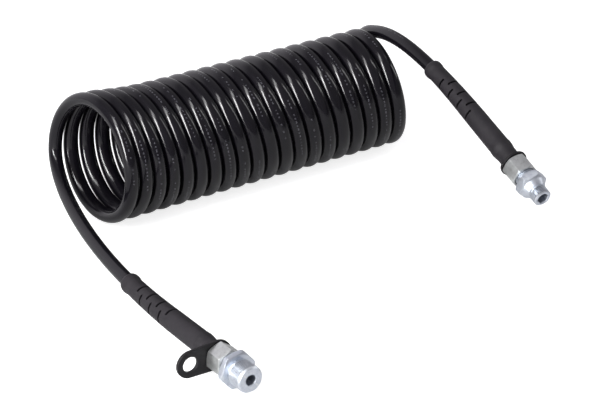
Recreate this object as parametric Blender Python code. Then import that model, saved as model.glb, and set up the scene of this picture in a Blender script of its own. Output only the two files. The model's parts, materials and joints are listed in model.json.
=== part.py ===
# Coiled air hose with a screwed fitting, union nut and bend protector at each end.
# Dimensions are millimetres; meshes are written in metres.
# World frame: +Z up, floor at Z = 0, coil axis along X.  Hose end A belongs to
# the -X end of the coil, hose end B to the +X end; both ends point to -Y.
# Origin: bottom centre of the bounding box.
# A "station" is a distance along the hose from the rear plane of the union nut:
# negative on the hose side, positive on the fitting side.
import bisect
import math

import bmesh
import bpy
import numpy as np
from mathutils import Matrix, Vector

for scene_object in list(bpy.data.objects):
    bpy.data.objects.remove(scene_object, do_unlink=True)

MM = 0.001
FULL_TURN = 2 * math.pi

# From the coil-centred design frame to the world frame
DESIGN_TO_WORLD = Vector((34.79, 132.17, 56.18))

# ----------------------------------------------------------------- dimensions
# Tube
TUBE_OD = 12.0
TUBE_WALL = 1.5
TUBE_END = 17.5                 # station of both tube ends
TUBE_SIDES = 8
STRAIGHT_MID = -30.0            # extra station on the straight run
TAIL_SPANS_A = 13               # spans along the curved part of each tail
TAIL_SPANS_B = 9

# Coil.  "Along" runs from -1 at the first crown to +1 at the last one.
COIL_TURNS = 20                 # full turns between the first and last crown
COIL_R = 50.1                   # centre-line radius
COIL_PITCH = 15.24              # mean pitch
COIL_X = 0.45                   # axial offset
PITCH_GROWTH = 5.0              # pitch opens steadily towards +X
STEPS_PER_TURN = 12
# Axial lean, positive with the crowns towards -X: polynomial in "along"
LEAN_MID, LEAN_LINEAR, LEAN_SQUARE = 7.72, 4.75, -6.8
# Fan: the turns spread apart on the +Y side and close up on the -Y side
FAN_MID, FAN_LINEAR = -1.92, -7.15
FIRST_TURN_SWELL = 2.5          # extra radius of the first turns
SWELL_TURNS = 2.4               # turns over which the swell dies out
BOW_FIRST, BOW_MIDDLE, BOW_LAST = 0.3, -1.4, 1.9    # axial bow of the turns
BOW_BLEND_1 = (-0.75, 0.45)     # first to middle bow: start and length in "along"
BOW_BLEND_2 = (-0.05, 0.9)      # middle to last bow
DISH = 1.0                      # axial dish of the first turns, none at the last
BOW_ANGLE = math.radians(58.7)  # coil angle from which bow and dish are laid

# Coil angles run from +Y towards +Z, so the first crown is at a quarter turn
FIRST_CROWN = math.pi / 2
LEAVE_A = -0.15                 # where tail A leaves (rad)
LEAVE_B = FIRST_CROWN + FULL_TURN * COIL_TURNS - 0.30   # just before the last crown

# Bend protector: rubber boot on the hose behind each nut
BOOT_SIDES = 16
BOOT_BORE_R = 6.35
BOOT_PROFILE = [                # (station, outer radius)
    (-139.0, 7.9), (-137.6, 8.6), (-134.5, 8.75), (-132.0, 8.4),
    (-130.0, 8.0), (-101.5, 8.45), (-63.0, 9.15), (-26.0, 9.35),
    (-21.5, 9.75), (-19.0, 9.6), (-14.0, 8.85), (-3.6, 8.8),
]
BOOT_EXTRA_STATIONS = [-48.0, -36.0]
BOOT_ORIGIN = -90.0             # station of the object's origin
SLOT_WIDTH = 2.6                # along the hose
SLOT_PITCH = 15.3
SLOT_FIRST = -113.0             # station of the first slot in the row of four
SLOT_FACETS = 8                 # facets cut by one slot, out of BOOT_SIDES

# Rings behind the nuts: hanging eye (end A) and plain collar (end B)
RING_T = 2.8
RING_R = 12.4
RING_BORE_R = 6.6
RING_BACK = -3.2                # station of the rear face
COLLAR_CHAMFER = 0.4
EYE_R = 11.4
EYE_HOLE_R = 6.4
EYE_DIST = 25.0                 # from the hose axis to the hole centre
EYE_DROP = 0.0                  # degrees the tab dips below the level, towards -X

# Union nut M18 x 1.5
NUT_FLATS = 22.0
NUT_L = 17.4
NUT_THREAD_R = 9.2
NUT_BORE_R = 6.6
NUT_CHAMFER = 0.7
NUT_SEAT = (4.0, 6.6)           # stations where the inner cone starts and ends

CUTTING_RING = [                # (radius, station)
    (6.3, 5.0), (6.9, 5.0), (8.25, 6.4), (8.25, 7.5), (7.45, 7.9),
    (6.8, 12.0), (6.3, 12.0),
]

# Support sleeve inside the tube, with a flange beyond the tube end
SLEEVE_FLANGE = (TUBE_END + 0.3, TUBE_END + 1.1)
SUPPORT_SLEEVE = [              # (radius, station)
    (3.2, 2.0), (3.75, 2.0), (3.9, 2.6), (3.9, SLEEVE_FLANGE[0]),
    (5.6, SLEEVE_FLANGE[0]), (5.6, SLEEVE_FLANGE[1]), (3.2, SLEEVE_FLANGE[1]),
]

# Stud fittings: the nut side is alike on both
STUD_M18_R = 8.85
STUD_BACK = 8.6                 # station of the rear face
STUD_LEAD = 0.6                 # lead chamfer of the M18 thread
STUD_GROOVE = 0.9               # depth of the groove between thread and hexagon
CONE_R = 7.9                    # mouth of the conical seat
CONE_HALF_ANGLE = 12.0
SOCKET_R = 6.35                 # bore that takes the tube
SOCKET_END = 19.2
CONE_END = STUD_BACK + (CONE_R - SOCKET_R) / math.tan(math.radians(CONE_HALF_ANGLE))

STUD_A_FLATS = 28.0
STUD_A_HEX = (22.2, 28.2)       # stations of the hexagon's two faces
STUD_A_THREAD_R = 11.0          # M22 x 1.5
STUD_A_END = 44.8
STUD_A_BORE_R = 4.4

STUD_B_FLATS = 24.0
STUD_B_HEX = (21.6, 30.6)
STUD_B_THREAD_R = 8.0           # M16 x 1.5
STUD_B_END = 45.5
STUD_B_BORE_R = 4.2
STUD_B_KEY_FLATS = 9.0          # hexagon socket in the free end
STUD_B_KEY_DEPTH = 9.0

HEX_PART_SIDES = 24
ROUND_PART_SIDES = 32


# ------------------------------------------------------------------ materials
def material(name, color, roughness, metallic):
    mat = bpy.data.materials.new(name)
    mat.use_nodes = True
    shader = mat.node_tree.nodes["Principled BSDF"]
    shader.inputs["Base Color"].default_value = (*color, 1.0)
    shader.inputs["Roughness"].default_value = roughness
    shader.inputs["Metallic"].default_value = metallic
    mat.diffuse_color = (*color, 1.0)
    return mat


# ----------------------------------------------------------------- hose curve
def blend(along, start, length):
    """Smooth step from 0 to 1."""
    u = min(1.0, max(0.0, (along - start) / length))
    return u * u * (3 - 2 * u)


def coil_point(angle):
    turn = (angle - FIRST_CROWN) / FULL_TURN
    turn_from_middle = turn - COIL_TURNS / 2
    along = turn_from_middle / (COIL_TURNS / 2)
    swell = FIRST_TURN_SWELL * math.exp(-(turn / SWELL_TURNS) ** 2)
    radius = COIL_R + swell
    lean = LEAN_MID + LEAN_LINEAR * along + LEAN_SQUARE * along ** 2
    fan = FAN_MID + FAN_LINEAR * along
    bow = (BOW_FIRST
           + (BOW_MIDDLE - BOW_FIRST) * blend(along, *BOW_BLEND_1)
           + (BOW_LAST - BOW_MIDDLE) * blend(along, *BOW_BLEND_2))
    dish = DISH * (1 - along) / 2
    bow_sine = math.sin(angle - BOW_ANGLE)
    x = (COIL_X + COIL_PITCH * turn_from_middle + PITCH_GROWTH * (along ** 2 - 1)
         - lean * math.sin(angle) - fan * math.cos(angle)
         + bow * bow_sine - dish * bow_sine ** 2)
    # Raising the centre by the swell keeps the lowest point of the turn level
    return Vector((x, radius * math.cos(angle), radius * math.sin(angle) + swell))


def coil_tangent(angle):
    step = 1e-4
    return (coil_point(angle + step) - coil_point(angle - step)).normalized()


def direction(yaw, pitch):
    """Unit vector turned from -Y by yaw towards -X and pitch downwards (degrees)."""
    yaw, pitch = math.radians(yaw), math.radians(pitch)
    return Vector((-math.sin(yaw) * math.cos(pitch),
                   -math.cos(yaw) * math.cos(pitch),
                   -math.sin(pitch)))


class Rail:
    """Centre line of a tail: straight behind the nut, then a cubic to the coil."""
    CURVE_STEPS = 160

    def __init__(self, end, axis, straight, nut_handle, coil_handle, leave, leave_sign):
        """leave_sign: -1 if the tail runs against the coil's winding, else 1."""
        self.end = Vector(end)
        self.axis = axis
        self.straight = straight
        p0 = coil_point(leave)
        p1 = p0 + coil_tangent(leave) * (leave_sign * coil_handle)
        p3 = self.end - axis * straight
        p2 = p3 - axis * nut_handle
        self.points = []            # from the straight run back to the coil
        for i in range(self.CURVE_STEPS, -1, -1):
            t = i / self.CURVE_STEPS
            s = 1 - t
            self.points.append(p0 * s ** 3 + p1 * (3 * s * s * t)
                               + p2 * (3 * s * t * t) + p3 * t ** 3)
        self.lengths = [straight]   # hose length from the nut to each point
        for a, b in zip(self.points, self.points[1:]):
            self.lengths.append(self.lengths[-1] + (b - a).length)

    def at(self, station):
        if station >= -self.straight:
            return self.end + self.axis * station
        i = bisect.bisect_left(self.lengths, -station)
        before, after = self.lengths[i - 1], self.lengths[i]
        return self.points[i - 1].lerp(self.points[i],
                                       (-station - before) / (after - before))

    def tangent(self, station):
        return (self.at(station + 0.5) - self.at(station - 0.5)).normalized()

    def place(self, roll=0.0):
        """Frame on the nut's rear plane."""
        return frame(self.end, self.axis, roll)

    def tube_points(self, spans):
        """Points from the tube end back to just short of the coil."""
        start = -self.straight
        curve = -self.lengths[-1] - start
        stations = [TUBE_END, 0.0, STRAIGHT_MID, start]
        stations += [start + curve * i / spans for i in range(1, spans)]
        return [self.at(station) for station in stations]


# --------------------------------------------------------------- mesh helpers
def finish(name, bm, origin, mat, sharp_angle=35.0):
    """Write a bmesh given in design millimetres as an object at origin."""
    bmesh.ops.recalc_face_normals(bm, faces=bm.faces)
    to_local = origin.inverted()
    for vert in bm.verts:
        vert.co = (to_local @ vert.co) * MM
    mesh = bpy.data.meshes.new(name)
    bm.to_mesh(mesh)
    bm.free()
    for polygon in mesh.polygons:
        polygon.use_smooth = True
    mesh.set_sharp_from_angle(angle=math.radians(sharp_angle))
    mesh.materials.append(mat)
    ob = bpy.data.objects.new(name, mesh)
    bpy.context.scene.collection.objects.link(ob)
    world = origin.copy()
    world.translation = (origin.translation + DESIGN_TO_WORLD) * MM
    ob.matrix_world = world


def frame(point, axis, roll=0.0):
    """Local Z along axis; before the roll local X is level and local Y upwards."""
    z = axis.normalized()
    x = Vector((0, 0, 1)).cross(z).normalized()
    y = z.cross(x)
    matrix = Matrix((x, y, z)).transposed().to_4x4()
    matrix = matrix @ Matrix.Rotation(math.radians(roll), 4, 'Z')
    matrix.translation = point
    return matrix


def square_to(vector, tangent):
    return (vector - tangent * vector.dot(tangent)).normalized()


def transport(points, start):
    """Tangents and rotation-minimising side vectors along a polyline."""
    before = points[:1] + points[:-1]
    after = points[1:] + points[-1:]
    tangents = [(b - a).normalized() for a, b in zip(before, after)]
    sides = [square_to(start, tangents[0])]
    for previous, tangent in zip(tangents, tangents[1:]):
        turned = previous.rotation_difference(tangent) @ sides[-1]
        sides.append(square_to(turned, tangent))
    return tangents, sides


def wall_rings(bm, sections, bore_r, count):
    """Outer and inner vertex rings; a section is (point, tangent, side, radius)."""
    outer, inner = [], []
    for point, tangent, x, radius in sections:
        y = tangent.cross(x)
        outer_ring, inner_ring = [], []
        for j in range(count):
            angle = FULL_TURN * j / count
            spoke = x * math.cos(angle) + y * math.sin(angle)
            outer_ring.append(bm.verts.new(point + spoke * radius))
            inner_ring.append(bm.verts.new(point + spoke * bore_r))
        outer.append(outer_ring)
        inner.append(inner_ring)
    return outer, inner


def skin_wall(bm, outer, inner, is_open=lambda i, j: False):
    """Skin a hollow wall with flat ends, leaving out the open facets."""
    count = len(outer[0])
    for j in range(count):
        k = (j + 1) % count
        for i in range(len(outer) - 1):
            if is_open(i, j):
                continue
            bm.faces.new((outer[i][j], outer[i][k], outer[i + 1][k], outer[i + 1][j]))
            bm.faces.new((inner[i][k], inner[i][j], inner[i + 1][j], inner[i + 1][k]))
        for i in (0, -1):
            bm.faces.new((outer[i][j], inner[i][j], inner[i][k], outer[i][k]))


def make_lathed(name, profile, count, place, mat):
    """Turn a closed profile of (radius, station) about local Z.
    An entry may be a function of the angle, which makes flats."""
    bm = bmesh.new()
    rings = []
    for entry in profile:
        ring = []
        for j in range(count):
            angle = FULL_TURN * j / count
            radius, z = entry(angle) if callable(entry) else entry
            local = Vector((radius * math.cos(angle), radius * math.sin(angle), z))
            ring.append(bm.verts.new(place @ local))
        rings.append(ring)
    for ring, following in zip(rings, rings[1:] + rings[:1]):
        for j in range(count):
            k = (j + 1) % count
            bm.faces.new((ring[j], ring[k], following[k], following[j]))
    finish(name, bm, place, mat)


def hex_radius(flats, angle):
    """Radius of a hexagon with a flat centred on angle 0."""
    from_flat = (angle + math.pi / 6) % (math.pi / 3) - math.pi / 6
    return flats / 2 / math.cos(from_flat)


def hex_edge(flats, z, face_r, slope):
    """Hexagon edge cut back by a cone that starts at radius face_r at z."""
    def entry(angle):
        radius = hex_radius(flats, angle)
        return radius, z + slope * max(0.0, radius - face_r)
    return entry


def hexagon(flats, z0, z1, inset, back_slope=0.58, front_slope=0.58):
    """Profile of a hexagon with chamfered corners, its faces inset from the flats."""
    face_r = flats / 2 - inset
    return [(face_r, z0), hex_edge(flats, z0, face_r, back_slope),
            hex_edge(flats, z1, face_r, -front_slope), (face_r, z1)]


# ----------------------------------------------------------------- components
def make_tube(rail_a, rail_b, mat):
    steps = round((LEAVE_B - LEAVE_A) / FULL_TURN * STEPS_PER_TURN)
    # The facets' mean radius equals the coil radius
    grow = 2 / (1 + math.cos(math.pi / STEPS_PER_TURN))
    points = rail_a.tube_points(TAIL_SPANS_A)
    for i in range(steps + 1):
        x, y, z = coil_point(LEAVE_A + (LEAVE_B - LEAVE_A) * i / steps)
        points.append(Vector((x, y * grow, z * grow)))
    points += reversed(rail_b.tube_points(TAIL_SPANS_B))

    tangents, sides = transport(points, Vector((0, 0, 1)))
    radii = [TUBE_OD / 2] * len(points)
    bm = bmesh.new()
    outer, inner = wall_rings(bm, zip(points, tangents, sides, radii),
                              TUBE_OD / 2 - TUBE_WALL, TUBE_SIDES)
    skin_wall(bm, outer, inner)
    finish("coiled_tube", bm, Matrix.Identity(4), mat)


def make_boot(name, rail, slot_side, mat):
    """Boot with staggered rows of four and three cross slots through the wall.
    The row of four is centred slot_side degrees from +X towards +Z, the row
    of three opposite."""
    slot_side = math.radians(slot_side)
    side = Vector((math.cos(slot_side), 0.0, math.sin(slot_side)))
    row_middles = {}            # slot start station: facet at the middle of the slot
    for count, offset, middle in ((4, 0.0, 0), (3, 0.5, BOOT_SIDES // 2)):
        for i in range(count):
            centre = SLOT_FIRST + SLOT_PITCH * (i + offset)
            row_middles[centre - SLOT_WIDTH / 2] = middle

    profile_stations, profile_radii = zip(*BOOT_PROFILE)
    stations = sorted([*profile_stations, *BOOT_EXTRA_STATIONS, *row_middles,
                       *(start + SLOT_WIDTH for start in row_middles)])
    sections = []
    for station in stations:
        tangent = rail.tangent(station)
        radius = float(np.interp(station, profile_stations, profile_radii))
        sections.append((rail.at(station), tangent, square_to(side, tangent), radius))

    def is_slot(i, j):
        if stations[i] not in row_middles:
            return False
        facet = (j - row_middles[stations[i]]) % BOOT_SIDES
        return facet < SLOT_FACETS // 2 or facet >= BOOT_SIDES - SLOT_FACETS // 2

    bm = bmesh.new()
    outer, inner = wall_rings(bm, sections, BOOT_BORE_R, BOOT_SIDES)
    skin_wall(bm, outer, inner, is_slot)
    # Slot walls: two across the hose, and one along it at each slot end
    for i in range(len(stations) - 1):
        near_out, far_out, near_in, far_in = outer[i], outer[i + 1], inner[i], inner[i + 1]
        for j in range(BOOT_SIDES):
            if not is_slot(i, j):
                continue
            k = (j + 1) % BOOT_SIDES
            bm.faces.new((near_out[j], near_out[k], near_in[k], near_in[j]))
            bm.faces.new((far_out[k], far_out[j], far_in[j], far_in[k]))
            if not is_slot(i, j - 1):
                bm.faces.new((far_out[j], near_out[j], near_in[j], far_in[j]))
            if not is_slot(i, k):
                bm.faces.new((near_out[k], far_out[k], far_in[k], near_in[k]))
    place = frame(rail.at(BOOT_ORIGIN), rail.tangent(BOOT_ORIGIN))
    finish(name, bm, place, mat, sharp_angle=50.0)


def make_nut(name, place, mat):
    profile = [
        (NUT_BORE_R, 0.0),
        *hexagon(NUT_FLATS, 0.0, NUT_L, inset=0.3),
        (NUT_THREAD_R + NUT_CHAMFER, NUT_L), (NUT_THREAD_R, NUT_L - NUT_CHAMFER),
        (NUT_THREAD_R, NUT_SEAT[1]), (NUT_BORE_R, NUT_SEAT[0]),
    ]
    make_lathed(name, profile, HEX_PART_SIDES, place, mat)


def stud_nut_side(hex_back, groove_start, groove_floor):
    """Profile from the conical seat over the M18 thread to the hexagon.
    The groove's two stations are given as distances behind the hexagon."""
    groove_r = STUD_M18_R - STUD_GROOVE
    return [
        (CONE_R, STUD_BACK), (STUD_M18_R - STUD_LEAD, STUD_BACK),
        (STUD_M18_R, STUD_BACK + STUD_LEAD), (STUD_M18_R, hex_back - groove_start),
        (groove_r, hex_back - groove_floor), (groove_r, hex_back),
    ]


def stud_bore(bore_r):
    """Profile from the through bore back to the conical seat."""
    return [(bore_r, SOCKET_END), (SOCKET_R, SOCKET_END), (SOCKET_R, CONE_END)]


def make_stud_a(place, mat):
    z0, z1 = STUD_A_HEX
    thread_r, end, bore_r = STUD_A_THREAD_R, STUD_A_END, STUD_A_BORE_R
    profile = [
        *stud_nut_side(z0, groove_start=1.4, groove_floor=0.8),
        *hexagon(STUD_A_FLATS, z0, z1, inset=0.4),
        # groove, then the M22 thread
        (9.7, z1), (9.7, z1 + 2.1), (thread_r, z1 + 2.8),
        (thread_r, end - 1.6), (thread_r - 1.3, end),
        # chamfered bore
        (bore_r + 0.4, end), (bore_r, end - 0.4),
        *stud_bore(bore_r),
    ]
    make_lathed("stud_fitting_a", profile, HEX_PART_SIDES, place, mat)


def make_stud_b(place, mat):
    z0, z1 = STUD_B_HEX
    thread_r, end = STUD_B_THREAD_R, STUD_B_END
    key_floor = end - STUD_B_KEY_DEPTH

    def key_edge(z):
        return lambda angle: (hex_radius(STUD_B_KEY_FLATS, angle), z)

    profile = [
        *stud_nut_side(z0, groove_start=0.9, groove_floor=0.4),
        *hexagon(STUD_B_FLATS, z0, z1, inset=0.9, back_slope=0.6, front_slope=0.75),
        # taper, groove, then the M16 thread
        (10.8, z1 + 0.4), (8.3, z1 + 4.8), (7.1, z1 + 5.0), (7.1, z1 + 5.8),
        (thread_r, z1 + 6.5), (thread_r, end - 1.3), (thread_r - 1.3, end),
        # hexagon socket with a chamfered mouth
        (5.45, end), key_edge(end - 0.5), key_edge(key_floor),
        (STUD_B_BORE_R, key_floor),
        *stud_bore(STUD_B_BORE_R),
    ]
    make_lathed("stud_fitting_b", profile, HEX_PART_SIDES, place, mat)


def make_collar(place, mat):
    z0, z1, chamfer = RING_BACK, RING_BACK + RING_T, COLLAR_CHAMFER
    profile = [
        (RING_BORE_R, z0), (RING_R - chamfer, z0), (RING_R, z0 + chamfer),
        (RING_R, z1 - chamfer), (RING_R - chamfer, z1), (RING_BORE_R, z1),
    ]
    make_lathed("end_collar_b", profile, ROUND_PART_SIDES, place, mat)


def arc(centre_x, radius, start, sweep, steps):
    angles = [start + sweep * i / steps for i in range(steps + 1)]
    return [(centre_x + radius * math.cos(a), radius * math.sin(a)) for a in angles]


def circle(centre_x, radius, steps):
    return arc(centre_x, radius, 0.0, FULL_TURN, steps)[:-1]


def make_eye(place, mat):
    """Flat ring with a tapered tab and a hanging hole."""
    # Local X of the end frame points to +X, so the tab lies towards -X
    tab_angle = math.radians(180.0 + EYE_DROP)
    tab_x = Vector((math.cos(tab_angle), math.sin(tab_angle), 0.0))
    tab_y = Vector((-tab_x.y, tab_x.x, 0.0))
    # Angle at which the straight tab edges touch both round ends
    touch = math.acos((RING_R - EYE_R) / EYE_DIST)
    loops = [
        arc(0.0, RING_R, touch, FULL_TURN - 2 * touch, 28)
        + arc(EYE_DIST, EYE_R, -touch, 2 * touch, 18),
        circle(0.0, RING_BORE_R, 32),
        circle(EYE_DIST, EYE_HOLE_R, 28),
    ]
    bm = bmesh.new()
    edges = []
    for loop in loops:
        verts = [bm.verts.new(tab_x * x + tab_y * y + Vector((0, 0, RING_BACK)))
                 for x, y in loop]
        edges += [bm.edges.new(pair) for pair in zip(verts, verts[1:] + verts[:1])]
    bmesh.ops.triangle_fill(bm, use_beauty=True, edges=edges)
    extruded = bmesh.ops.extrude_face_region(bm, geom=list(bm.faces))
    moved = [item for item in extruded["geom"] if isinstance(item, bmesh.types.BMVert)]
    bmesh.ops.translate(bm, verts=moved, vec=Vector((0, 0, RING_T)))
    bm.transform(place)
    finish("hanging_eye", bm, place, mat)


# ------------------------------------------------------------------- assembly
tube_mat = material("tube_polyamide", color=(0.012, 0.012, 0.014),
                    roughness=0.22, metallic=0.0)
boot_mat = material("boot_rubber", color=(0.030, 0.028, 0.030),
                    roughness=0.62, metallic=0.0)
ring_mat = material("ring_plastic", color=(0.018, 0.018, 0.019),
                    roughness=0.5, metallic=0.0)
nut_mat = material("nut_zinc", color=(0.42, 0.43, 0.40),
                   roughness=0.42, metallic=1.0)
cutting_mat = material("cutting_ring_steel", color=(0.40, 0.37, 0.28),
                       roughness=0.35, metallic=1.0)
sleeve_mat = material("sleeve_brass", color=(0.55, 0.42, 0.18),
                      roughness=0.3, metallic=1.0)
stud_mat = material("stud_zinc", color=(0.62, 0.66, 0.72),
                    roughness=0.28, metallic=1.0)

RAIL_A = Rail(end=(-195.37, -277.8, -39.77), axis=direction(yaw=-1.5, pitch=-0.6),
              straight=64.8, nut_handle=150.0, coil_handle=31.0,
              leave=LEAVE_A, leave_sign=-1)
RAIL_B = Rail(end=(135.71, -217.57, 9.41), axis=direction(yaw=4.2, pitch=17.2),
              straight=73.1, nut_handle=120.0, coil_handle=20.0,
              leave=LEAVE_B, leave_sign=1)

make_tube(RAIL_A, RAIL_B, tube_mat)

ENDS = [                        # (letter, rail, slot side, nut roll), in degrees
    ("a", RAIL_A, 43.0, -7.0),
    ("b", RAIL_B, 218.0, -17.0),
]
for letter, rail, slot_side, nut_roll in ENDS:
    make_boot(f"bend_protector_{letter}", rail, slot_side, boot_mat)
    make_nut(f"union_nut_{letter}", rail.place(nut_roll), nut_mat)
    make_lathed(f"cutting_ring_{letter}", CUTTING_RING, ROUND_PART_SIDES,
                rail.place(), cutting_mat)
    make_lathed(f"support_sleeve_{letter}", SUPPORT_SLEEVE, ROUND_PART_SIDES,
                rail.place(), sleeve_mat)

make_eye(RAIL_A.place(), ring_mat)
make_collar(RAIL_B.place(), ring_mat)
make_stud_a(RAIL_A.place(roll=-21.0), stud_mat)
make_stud_b(RAIL_B.place(roll=-10.0), stud_mat)
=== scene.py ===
"""Coiled black polyamide air hose with a screwed fitting at each end.

The coil lies along X with Z up. Its two tails both leave towards -Y, end A on
the -X side and end B on the +X side. Each tail passes through a slotted rubber
boot, a plastic ring and a union nut, and a stud fitting is screwed into the
nut. Lengths are design millimetres unless noted; SHIFT and MM take them to
the world.
"""
import json
import math
import bpy
import bmesh
import numpy as np
from mathutils import Vector, Matrix

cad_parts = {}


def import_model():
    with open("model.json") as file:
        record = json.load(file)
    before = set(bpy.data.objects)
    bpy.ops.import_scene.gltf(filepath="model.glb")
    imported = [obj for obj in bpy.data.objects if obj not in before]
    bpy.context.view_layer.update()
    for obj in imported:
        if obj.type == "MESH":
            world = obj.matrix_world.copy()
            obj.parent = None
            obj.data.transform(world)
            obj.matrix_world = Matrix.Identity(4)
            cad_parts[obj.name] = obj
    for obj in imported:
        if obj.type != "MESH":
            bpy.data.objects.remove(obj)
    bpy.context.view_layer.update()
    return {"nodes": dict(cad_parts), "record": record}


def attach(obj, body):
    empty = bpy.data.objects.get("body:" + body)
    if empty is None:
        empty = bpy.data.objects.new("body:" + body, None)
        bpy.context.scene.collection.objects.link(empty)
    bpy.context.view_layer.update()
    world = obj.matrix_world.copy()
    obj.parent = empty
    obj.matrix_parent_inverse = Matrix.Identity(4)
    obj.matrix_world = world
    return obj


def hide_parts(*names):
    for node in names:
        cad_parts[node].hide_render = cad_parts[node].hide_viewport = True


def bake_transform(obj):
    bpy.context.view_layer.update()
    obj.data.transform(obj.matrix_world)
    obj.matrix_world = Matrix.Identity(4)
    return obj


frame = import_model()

MM = 0.001
TURN = 2 * math.pi

# ---------------------------------------------------------- tube dimensions
TUBE_OD, TUBE_ID = 12.0, 9.0
TUBE_OUT_N, TUBE_IN_N = 32, 16      # points round the outside and the bore
OVAL = 1.3                          # most the coiled tube widens, each side
JOIN = -124.0                       # the long piece ends here, in each boot
JOIN_GAP = 0.4
TUBE_END = 17.5                     # the tube's end, past the nut's rear plane

# --------------------------------------------------------------------- coil
COIL_TURNS, COIL_R, COIL_PITCH, COIL_X = 20, 50.1, 15.24, 0.45
COIL_STEPS = 84                     # stations per turn
PITCH_GROWTH = 5.0                  # X offset, quadratic along the coil
LEAN = (7.72, 4.75, -6.8)           # lean of the turns top to bottom: 1, t, t^2
FAN = (-1.92, -7.15)                # slant of the turns along Y: 1, t
FIRST_TURN_SWELL, SWELL_TURNS = 2.5, 2.4
BOW = (0.3, -1.4, 1.9)              # sideways bow: start, middle, end
BOW_STEPS = ((-0.75, 0.45), (-0.05, 0.9))   # where it changes: t, length
BOW_AT = math.radians(58.7)
DISH = 1.0
LEAVE_A, LEAVE_B = -0.15, -0.30     # angles at which the tails leave

# --------------------------------------------------------------------- ends
END_A = Vector((-195.37, -277.80, -39.77))      # centre of nut's rear plane
END_B = Vector((135.71, -217.57, 9.41))
# tail curve: handle at the coil, handle at the end, straight run to the nut
BEND_A, BEND_B = (31.0, 150.0, 64.8), (20.0, 120.0, 73.1)
RAIL_STEP = 3.2
BEND_FROM, BEND_TO = -119.0, -61.0              # span of the rail round the boot's slots
NUT_ROLL_A, STUD_ROLL_A = math.radians(-7.0), math.radians(-21.0)
NUT_ROLL_B, STUD_ROLL_B = math.radians(-17.0), math.radians(-10.0)

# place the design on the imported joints
joints = {j["name"]: j for j in frame["record"]["behaviour"]["joints"]}
SHIFT = Vector(joints["nut_a_turn"]["pos_m"]) / MM - END_A
AXIS_A = Vector(joints["stud_a_release"]["axis"]).normalized()
AXIS_B = Vector(joints["stud_b_release"]["axis"]).normalized()


def world(point):
    """Design millimetres to world metres."""
    return (point + SHIFT) * MM


def smooth01(x):
    x = min(max(x, 0.0), 1.0)
    return x * x * (3 - 2 * x)


def axes_matrix(x, y, z, origin):
    matrix = Matrix((x, y, z)).transposed().to_4x4()
    matrix.translation = origin
    return matrix


# --------------------------------------------------------------- hose curve
def coil_point(psi):
    """Coil centre line; psi turns from +Y towards +Z."""
    turns = (psi - math.pi / 2) / TURN
    t = (turns - COIL_TURNS / 2) / (COIL_TURNS / 2)     # -1 to 1 along coil
    swell = FIRST_TURN_SWELL * math.exp(-(turns / SWELL_TURNS) ** 2)
    r = COIL_R + swell
    lean = LEAN[0] + LEAN[1] * t + LEAN[2] * t * t
    bow = BOW[0]
    for i, (start, length) in enumerate(BOW_STEPS):
        bow += (BOW[i + 1] - BOW[i]) * smooth01((t - start) / length)
    x = (COIL_X + COIL_PITCH * (turns - COIL_TURNS / 2)
         + PITCH_GROWTH * (t * t - 1) - lean * math.sin(psi)
         - (FAN[0] + FAN[1] * t) * math.cos(psi)
         + bow * math.sin(psi - BOW_AT)
         - DISH * (1 - t) / 2 * math.sin(psi - BOW_AT) ** 2)
    # lifted by the swell, so that the bottom of the coil stays level
    return Vector((x, r * math.cos(psi), r * math.sin(psi) + swell))


def coil_tangent(psi):
    return (coil_point(psi + 1e-4) - coil_point(psi - 1e-4)).normalized()


def outward(psi):
    """Direction away from the coil's axis, square to the tube."""
    tangent = coil_tangent(psi)
    d = Vector((0, math.cos(psi), math.sin(psi)))
    return (d - tangent * d.dot(tangent)).normalized()


def tail(p0, direction, end, axis, bend, n=400):
    """Bezier from the coil to the start of the straight run."""
    handle_coil, handle_end, run = bend
    p3 = end - axis * run
    p1, p2 = p0 + direction * handle_coil, p3 - axis * handle_end
    points = []
    for i in range(n + 1):
        t = i / n
        s = 1 - t
        points.append(p0 * s ** 3 + p1 * (3 * s * s * t)
                      + p2 * (3 * s * t * t) + p3 * t ** 3)
    return points


class Rail:
    """Tail centre line by distance from the nut's rear plane: negative
    towards the coil, positive into the nut and stud."""

    def __init__(self, points, end, axis):
        self.end, self.axis = end, axis
        points = list(reversed(points))
        self.run = (end - points[0]).length
        dist = [-self.run]
        for a, b in zip(points, points[1:]):
            dist.append(dist[-1] - (b - a).length)
        self.dist = np.array(dist)
        self.coords = np.array([tuple(p) for p in points])

    def at(self, s):
        if s >= -self.run:
            return self.end + self.axis * s
        return Vector([float(np.interp(-s, -self.dist, self.coords[:, c]))
                       for c in range(3)])

    def tangent(self, s):
        return (self.at(s + 0.8) - self.at(s - 0.8)).normalized()

    def stations(self):
        """From the join back to just short of the coil."""
        last = float(self.dist[-1])
        n = max(2, int(round((JOIN - last) / RAIL_STEP)))
        return [JOIN + (last - JOIN) * i / n for i in range(n)]


PSI_A = LEAVE_A
PSI_B = math.pi / 2 + TURN * COIL_TURNS + LEAVE_B
RAIL_A = Rail(tail(coil_point(PSI_A), -coil_tangent(PSI_A), END_A, AXIS_A,
                   BEND_A), END_A, AXIS_A)
RAIL_B = Rail(tail(coil_point(PSI_B), coil_tangent(PSI_B), END_B, AXIS_B,
                   BEND_B), END_B, AXIS_B)


def end_frame(point, axis):
    """Frame of the end parts: z along the axis, x level."""
    z = axis.normalized()
    x = Vector((0, 0, 1)).cross(z).normalized()
    return axes_matrix(x, z.cross(x), z, point)


PLACE_A, PLACE_B = end_frame(END_A, AXIS_A), end_frame(END_B, AXIS_B)


# -------------------------------------------------------------- mesh helpers
def shade(me, sharp):
    me.polygons.foreach_set("use_smooth", [True] * len(me.polygons))
    if sharp:
        me.set_sharp_from_angle(angle=math.radians(sharp))


def add_object(name, me, mat, sharp=None):
    shade(me, sharp)
    me.materials.append(mat)
    ob = bpy.data.objects.new(name, me)
    bpy.context.scene.collection.objects.link(ob)
    return ob


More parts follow.
